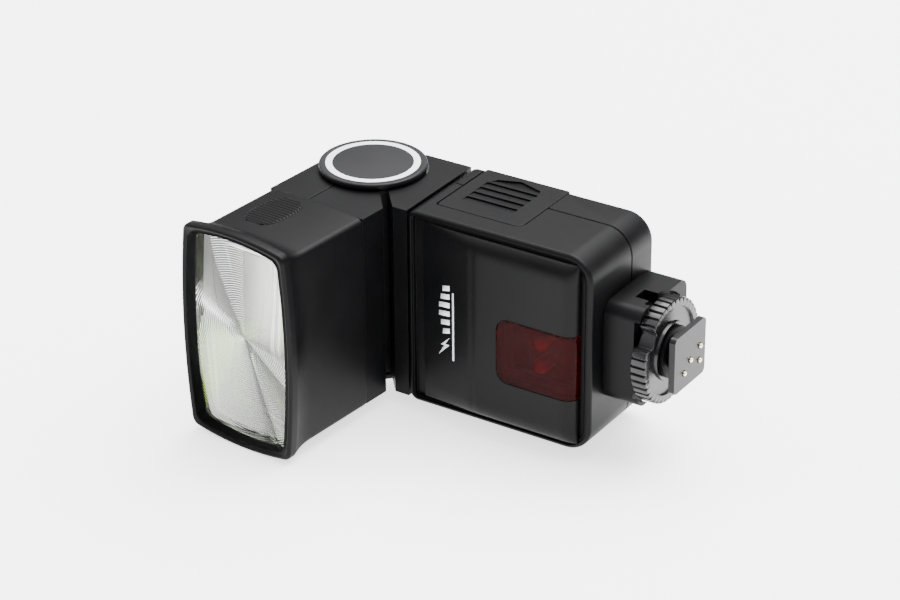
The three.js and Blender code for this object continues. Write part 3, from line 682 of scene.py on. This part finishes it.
def build_door():
    top = BODY_HI.z
    loops = []
    for d, inset in [*reversed(quarter(0.35 * MM)), (DOOR_THICK, 0)]:
        outline = rounded(DOOR_LO.x, DOOR_HI.x, DOOR_LO.y, BODY_BACK, inset, DOOR_RADII, 6)
        loops.append([(x, y, top - d) for x, y in outline])
    bm = bmesh.new()
    bridge(bm, loops)
    piece = new_object("battery_door_fine", bm, "casing_black", "door", ("battery_door",))
    for cutter in door_ridges():
        carve(piece, cutter)
    add_bevel(piece, 0.08 * MM, 2, 25)
    outline = rounded(DOOR_LO.x, DOOR_HI.x, DOOR_LO.z + 1.6 * MM, top - 0.4 * MM, 0, (0.5 * MM,) * 4, 4)
    lip = prism(outline, "y", BODY_BACK - DOOR_THICK, BODY_BACK)
    add_bevel(new_object("battery_door_lip", lip, "casing_black", "door"), 0.3 * MM, 3)
    pin = Vector(JOINTS["door_hinge"]["pos_m"])
    inner, outer = 1.1 * MM, 1.5 * MM
    barrel = lathe([(inner, DOOR_LO.x), (outer, DOOR_LO.x), (outer, DOOR_HI.x), (inner, DOOR_HI.x)], 32)
    along = Matrix.Translation((0, pin.y, pin.z)) @ Matrix.Rotation(math.radians(90), 4, "Y")
    add_bevel(new_object("battery_door_knuckle", barrel, "casing_black", "door", (), along), 0.1 * MM, 2)


# ---- flash head, built round the tilt axis facing -Y and then turned into place ----
BARREL = {"x0": -16.3 * MM, "x1": 21.3 * MM, "half": 32.8 * MM, "crown": 0.9 * MM, "radius": 1.6 * MM}
RIM = {"x0": -20 * MM, "x1": 22.6 * MM, "half": 36 * MM, "crown": 2 * MM, "radius": 1.9 * MM}
FLARE = (-57 * MM, -64.4 * MM)  # where the barrel starts to widen, and where it reaches the rim
HEAD_BACK = -30 * MM
RIM_FRONT = -67.5 * MM
HEAD_SEAM = -60.35 * MM
SEAM_LOOP = 0.02 * MM  # a loop this close to the seam keeps the shading straight up to it
HEAD_WALL = 1.8 * MM
RIM_WALL = 2.1 * MM
LENS_Y = (-63.6 * MM, -62.9 * MM)


def bowed(x0, x1, half, crown, radius, steps=6, along=14):
    """Points (x, z) round a rectangle with rounded corners, whose sides bow out by the crown."""
    corners = rounded(x0 + crown, x1 - crown, crown - half, half - crown, 0, (radius,) * 4, steps)
    dense = []
    for i, (a, b) in enumerate(zip(corners, corners[1:] + corners[:1])):
        dense.append(a)
        if (i + 1) % (steps + 1) == 0:
            dense += [tuple(np.add(a, np.subtract(b, a) * k / along)) for k in range(1, along)]
    cx, hx, hz = (x0 + x1) / 2, (x1 - x0) / 2 - crown, half - crown
    points = []
    for x, z in dense:
        u, v = (x - cx) / hx, z / hz
        points.append((x + crown * u * (1 - v * v), z + crown * v * (1 - u * u)))
    return points


def head_loop(y, grow=0.0, inset=0.0, radius=None):
    """A loop round the head; grow carries it from the barrel (0) out to the rim (1)."""
    size = {key: BARREL[key] + (RIM[key] - BARREL[key]) * grow for key in BARREL}
    corner = size["radius"] if radius is None else radius
    points = bowed(size["x0"] + inset, size["x1"] - inset, size["half"] - inset, size["crown"], corner)
    return [(x, y, z) for x, z in points]


def flare(y):
    return max(0.0, (FLARE[0] - y) / (FLARE[0] - FLARE[1])) ** 2.2


def closed_ring(loops):
    """A ring-shaped mesh: the loops joined in order, and the last one to the first."""
    bm = bmesh.new()
    rows = bridge(bm, loops, False, False)
    count = len(rows[0])
    for i in range(count):
        j = (i + 1) % count
        bm.faces.new((rows[-1][i], rows[-1][j], rows[0][j], rows[0][i]))
    return bm


def build_barrel():
    loops = [head_loop(HEAD_SEAM, flare(HEAD_SEAM), HEAD_WALL), head_loop(HEAD_BACK, 0, HEAD_WALL)]
    loops += [head_loop(HEAD_BACK - d, 0, inset) for d, inset in reversed(quarter(0.6 * MM))]
    loops += [head_loop(y, flare(y)) for y in np.linspace(FLARE[0], HEAD_SEAM + SEAM_LOOP, 6)]
    loops.append(head_loop(HEAD_SEAM, flare(HEAD_SEAM)))
    bm = closed_ring(loops)
    piece = new_object("zoom_barrel_fine", bm, "casing_black", "zoom_head", ("zoom_barrel",), HEAD_FRAME)
    add_weighted(piece)


def build_bezel():
    """The rim: its flare, rounded front, straight inside walls and the seat behind the lens."""
    seam = HEAD_SEAM
    loops = [head_loop(seam, flare(seam))]
    loops += [head_loop(y, flare(y)) for y in np.linspace(seam - SEAM_LOOP, FLARE[1], 8)]
    loops += [head_loop(RIM_FRONT + d, 1, inset) for d, inset in quarter(1.0 * MM, 6)]
    inner = 2.4 * MM
    lip = 0.45 * MM
    loops += [head_loop(RIM_FRONT + lip - a, 1, RIM_WALL - b, inner) for b, a in quarter(lip, 4)]
    loops.append(head_loop(LENS_Y[1] + 0.1 * MM, 1, RIM_WALL, inner))
    loops.append(head_loop(seam, flare(seam), HEAD_WALL, inner))
    bm = closed_ring(loops)
    piece = new_object("front_bezel_fine", bm, "casing_black", "zoom_head", ("front_bezel",), HEAD_FRAME)
    add_weighted(piece)


def build_funnel():
    """The bright lining that leads from the reflector's mouth out to the lens's edge."""
    front, back, skin = LENS_Y[1] + 0.15 * MM, -60.0 * MM, 0.25 * MM
    loops = [
        head_loop(front, 1, RIM_WALL + 0.15 * MM, 2.3 * MM),
        head_loop(back, 0, HEAD_WALL + 0.5 * MM, 2 * MM),
        head_loop(back, 0, HEAD_WALL + 0.2 * MM, 2 * MM),
        head_loop(front + skin, 1, RIM_WALL + 0.05 * MM, 2.3 * MM),
    ]
    # The lining's colour is painted reflection and painted shade, from the funnel material.
    piece = new_object(
        "lens_funnel", closed_ring(loops), "reflector_bright", "zoom_head", (), HEAD_FRAME, "funnel_painted_reflection",
    )
    add_weighted(piece)


def build_lens():
    """A flat-fronted plate whose back is cut in fine rings round its middle."""
    front, back = LENS_Y
    pitch, deep, rings, steps = 0.75 * MM, 0.2 * MM, 55, 120
    middle = (RIM["x0"] + RIM["x1"]) / 2
    bm = bmesh.new()
    profile = []
    for ring in range(rings):
        start = ring * pitch
        profile += [(start + pitch * 0.8, back), (start + pitch, back - deep)]
    profile.append((profile[-1][0], front))
    bridge(bm, [[(middle + u, y, v) for u, v in circle(radius, steps)] for radius, y in profile])
    piece = new_object("fresnel_fine", bm, "fresnel_clear", "zoom_head", ("fresnel_lens",))
    outline = head_loop(0, 1, RIM_WALL + 0.12 * MM, 2.3 * MM)
    keep = prism([(x, z) for x, _, z in outline], "y", front - 1 * MM, back + 1 * MM)
    carve(piece, cutter_from(keep), "INTERSECT")
    piece.data.transform(HEAD_FRAME)
    split_edges(piece, 20)


CAD_HEAD_X = (-15.9 * MM, 20.9 * MM)
CAD_HEAD_HALF = 32.4 * MM
TROUGH = {"mouth_y": -59.8 * MM, "mouth": 14 * MM, "depth": 20.8 * MM, "half": 28 * MM, "skin": 0.6 * MM}


def trough_section(middle, grow, z, steps):
    """Points across the reflector's parabola at one height."""
    points = []
    for i in range(steps + 1):
        u = -1 + 2 * i / steps
        y = TROUGH["mouth_y"] + (TROUGH["depth"] + grow) * (1 - u * u)
        points.append((middle + (TROUGH["mouth"] + grow) * u, y, z))
    return points


def build_reflector():
    """A smooth parabolic trough with closed ends, and the flat lip round its mouth."""
    middle = (CAD_HEAD_X[0] + CAD_HEAD_X[1]) / 2
    half, skin = TROUGH["half"], TROUGH["skin"]
    bm = bmesh.new()
    steps = 40
    inner = [[bm.verts.new(p) for p in trough_section(middle, 0, z, steps)] for z in (half, 0, -half)]
    outer_z = (half + skin, 0, -half - skin)
    outer = [[bm.verts.new(p) for p in trough_section(middle, skin, z, steps)] for z in outer_z]
    for grid in (inner, outer):
        for a, b in zip(grid, grid[1:]):
            for i in range(steps):
                bm.faces.new((a[i], a[i + 1], b[i + 1], b[i]))
    for end in (0, -1):
        bm.faces.new(inner[end])
        bm.faces.new(outer[end])
        bm.faces.new((inner[end][0], outer[end][0], outer[end][-1], inner[end][-1]))
        for k in range(2):
            bm.faces.new((inner[k][end], inner[k + 1][end], outer[k + 1][end], outer[k][end]))
    # The trough and its lip wear the funnel material, whose colour is painted reflection and painted shade.
    piece = new_object(
        "reflector_fine", bm, "reflector_bright", "head", ("reflector",), HEAD_FRAME, "funnel_painted_reflection",
    )
    split_edges(piece, 40)
    mouth, mouth_y, thick = TROUGH["mouth"], TROUGH["mouth_y"], 0.5 * MM
    inside = rounded(middle - mouth, middle + mouth, -half, half, 0, (0.5 * MM,) * 4, 4)
    outside = rounded(*CAD_HEAD_X, -CAD_HEAD_HALF, CAD_HEAD_HALF, 2.3 * MM, (3 * MM,) * 4, 4)
    back = mouth_y + thick
    stations = ((mouth_y, outside), (mouth_y, inside), (back, inside), (back, outside))
    loops = [[(x, y, z) for x, z in outline] for y, outline in stations]
    new_object(
        "reflector_flange", closed_ring(loops), "reflector_bright", "head", (), HEAD_FRAME, "funnel_painted_reflection",
    )


def build_grip():
    """The oval patch of fine ribs on the barrel's top."""
    centre = Vector((-3.3 * MM, -43 * MM))
    half_x, half_y = 6.6 * MM, 9.7 * MM
    ribs, rib_height, deep = 14, 0.5 * MM, 0.5 * MM
    top = BARREL["half"] - 0.05 * MM
    bm = bmesh.new()
    columns, per_rib = 36, 10
    count = ribs * per_rib
    upper, lower = [], []
    for j in range(count + 1):
        v = -1 + 2 * j / count
        reach = half_x * max(1 - abs(v) ** 2.8, 0.0004) ** 0.42
        phase = (j % per_rib) / per_rib
        height = rib_height * math.sin(math.pi * phase) ** 0.6
        row_u, row_l = [], []
        for i in range(columns + 1):
            u = -1 + 2 * i / columns
            fade = min(1, (1 - abs(u)) * 10, (1 - abs(v)) * 12)
            x = centre.x + reach * u
            across = (2 * x - BARREL["x0"] - BARREL["x1"]) / (BARREL["x1"] - BARREL["x0"])
            skin_z = top - BARREL["crown"] * across ** 2
            row_u.append(bm.verts.new((x, centre.y + half_y * v, skin_z + height * fade)))
            row_l.append(bm.verts.new((x, centre.y + half_y * v, skin_z - deep)))
        upper.append(row_u)
        lower.append(row_l)
    for a, b, c, d in zip(upper, upper[1:], lower, lower[1:]):
        for i in range(columns):
            bm.faces.new((a[i], a[i + 1], b[i + 1], b[i]))
            bm.faces.new((c[i], d[i], d[i + 1], c[i + 1]))
        bm.faces.new((a[0], b[0], d[0], c[0]))
        bm.faces.new((a[-1], c[-1], d[-1], b[-1]))
    for i in range(columns):
        bm.faces.new((upper[0][i], lower[0][i], lower[0][i + 1], upper[0][i + 1]))
        bm.faces.new((upper[-1][i], upper[-1][i + 1], lower[-1][i + 1], lower[-1][i]))
    new_object("zoom_grip_ribs", bm, "casing_black", "zoom_head", (), HEAD_FRAME)


# ---- pivot caps ----
def build_caps():
    r, ring_in, ring_out = 16.8 * MM, 12.6 * MM, 14.7 * MM
    under, top = 31.9 * MM, 33.9 * MM
    groove = 0.25 * MM
    profile = [(0, under), (r - 0.5 * MM, under), (r, under + 0.5 * MM)]
    profile += [(r - i, top - d) for d, i in quarter(0.6 * MM, 5)]
    edge, bevel, floor = 0.05 * MM, 0.04 * MM, top - groove
    profile += [(ring_out + 2 * edge, top), (ring_out + edge, floor)]
    profile += [(ring_in - edge, floor), (ring_in - 2 * edge, top), (0, top)]
    under_band = floor - 0.01 * MM
    band = [(ring_in, under_band), (ring_out, under_band), (ring_out, top - bevel)]
    band += [(ring_out - edge, top), (ring_in + edge, top), (ring_in, top - bevel)]
    for turned, name in ((0, "top"), (math.pi, "bottom")):
        turn = HEAD_FRAME @ Matrix.Rotation(turned, 4, "X")
        for kind, shape, slot in (("cap", profile, "cap_grey"), ("ring", band, "ring_white")):
            node = f"pivot_{kind}_{name}"
            add_weighted(new_object(f"{node}_fine", lathe(shape, 128), slot, "head", (node,), turn))


# ---- lock wheel and pins ----
WHEEL = {"r": 16.4 * MM, "bore": 5 * MM, "teeth": 40, "gap": 0.75 * MM}
NOTCHES = (145, 325)  # where the wheel's two finger notches are, in degrees
NOTCH_HALF, NOTCH_RAMP, NOTCH_DEEP = 12, 2.2, 3.1 * MM  # half width and ramp in degrees, and depth


def wheel_radius(angle):
    """The wheel's rim at an angle: the gaps between its teeth, and its finger notches."""
    phase = (angle / (2 * math.pi) * WHEEL["teeth"]) % 1
    out = WHEEL["r"] - WHEEL["gap"] * max(0, min(1, (0.17 - abs(phase - 0.5)) / 0.06))
    for notch in NOTCHES:
        away = abs((math.degrees(angle) - notch + 180) % 360 - 180)
        if away < NOTCH_HALF:
            out = min(out, WHEEL["r"] - NOTCH_DEEP * min(1, (NOTCH_HALF - away) / NOTCH_RAMP) ** 0.7)
    return out


def build_wheel():
    lo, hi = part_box("lock_wheel")
    centre = Vector(JOINTS["lock_wheel_turn"]["pos_m"])
    steps = 14
    count = WHEEL["teeth"] * steps
    angles = [2 * math.pi * i / count for i in range(count)]
    rim = [wheel_radius(a) for a in angles]
    edge = quarter(0.5 * MM, 3)
    stations = [(lo.x + d, inset) for d, inset in reversed(edge)] + [(hi.x - d, inset) for d, inset in edge]
    dish, floor_x = WHEEL["r"] - 2.6 * MM, hi.x - 0.8 * MM
    loops = [(x, [r - inset for r in rim]) for x, inset in stations]
    loops.append((hi.x, [min(dish, r - 1.1 * MM) for r in rim]))
    loops.append((floor_x, [min(dish - 0.3 * MM, r - 1.4 * MM) for r in rim]))
    hub = ((floor_x, 9.3 * MM), (hi.x, 9.0 * MM), (hi.x, WHEEL["bore"]), (lo.x, WHEEL["bore"]))
    loops += [(x, [r] * count) for x, r in hub]
    placed = [
        [(x, centre.y + r * math.cos(a), centre.z + r * math.sin(a)) for r, a in zip(radii, angles)]
        for x, radii in loops
    ]
    bm = closed_ring(placed)
    piece = new_object("lock_wheel_fine", bm, "wheel_gloss", "lock_wheel", ("lock_wheel",))
    split_edges(piece, 42)


def build_pins():
    for i in range(1, 5):
        lo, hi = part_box(f"contact_pin_{i}")
        middle = (lo + hi) / 2
        r = (hi.y - lo.y) / 2
        length = hi.x - lo.x
        tip = 0.5 * MM
        dome = [
            (r * math.cos(t), length - tip + tip * math.sin(t)) for t in np.linspace(0, math.pi / 2, 7)
        ]
        profile = [(0, 0), (r, 0)] + dome[:-1] + [(0, length)]
        turn = Matrix.Translation((lo.x, middle.y, middle.z)) @ Matrix.Rotation(math.radians(90), 4, "Y")
        node = f"contact_pin_{i}"
        new_object(f"{node}_fine", lathe(profile, 32), "pin_gold", "flash_body", (node,), turn)


def build_switch_floor():
    """The dark floor of the power switch's slot, behind its knob."""
    knob_lo, knob_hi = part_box("power_switch")
    travel = JOINTS["power_slide"]["range_m"][1]
    margin = 0.6 * MM
    outline = rounded(
        knob_lo.x - margin, knob_hi.x + margin, knob_lo.z - margin, knob_hi.z + travel + margin,
        0, (0.5 * MM,) * 4, 3,
    )
    back = knob_lo.y - 0.2 * MM
    floor = prism(outline, "y", back - 0.4 * MM, back)
    add_bevel(new_object("switch_slot_floor", floor, "inner_black", "flash_body"), 0.05 * MM, 2)


# The width in millimetres of each plain piece's rounded edges.
SOFT_EDGES = {
    "foot_bracket": 2.2, "foot_plate": 0.45, "foot_stem": 0.2, "yoke_block": 2.2, "neck_left_cover": 0.6,
    "neck_right_cover": 1.0, "control_panel": 0.25, "power_switch": 0.3, "test_button": 0.4,
    "mode_button": 0.4, "ready_lamp": 0.2, "mode_lamp_left": 0.15, "mode_lamp_right": 0.15,
    "door_slide_frame": 0.15, "clamp_washer": 0.15, "swivel_retainer": 0.15, "battery_case": 0.2,
    "door_contact_plate": 0.2, "main_board": 0.1, "af_board": 0.1, "transformer": 0.5, "trigger_coil": 0.5,
    "inner_sleeve": 0.2, "main_capacitor": 0.6,
    **{f"case_screw_{i}": 0.12 for i in range(1, 5)},
    **{f"battery_cell_{i}": 0.4 for i in range(1, 5)},
}


def build_plain_pieces():
    for node, width in SOFT_EDGES.items():
        soften(node, width * MM)
    for node, cad in frame["nodes"].items():
        if node in SOFT_EDGES:
            continue
        cad.data.materials.clear()
        cad.data.materials.append(MATERIALS[SLOT_OF[node]])


MATERIALS = make_materials()
add_camera()
add_stage()
build_front_shell()
build_rear_shell()
build_panel()
build_window()
build_mark()
build_door()
build_barrel()
build_bezel()
build_funnel()
build_lens()
build_reflector()
build_grip()
build_caps()
build_wheel()
build_pins()
build_switch_floor()
build_plain_pieces()
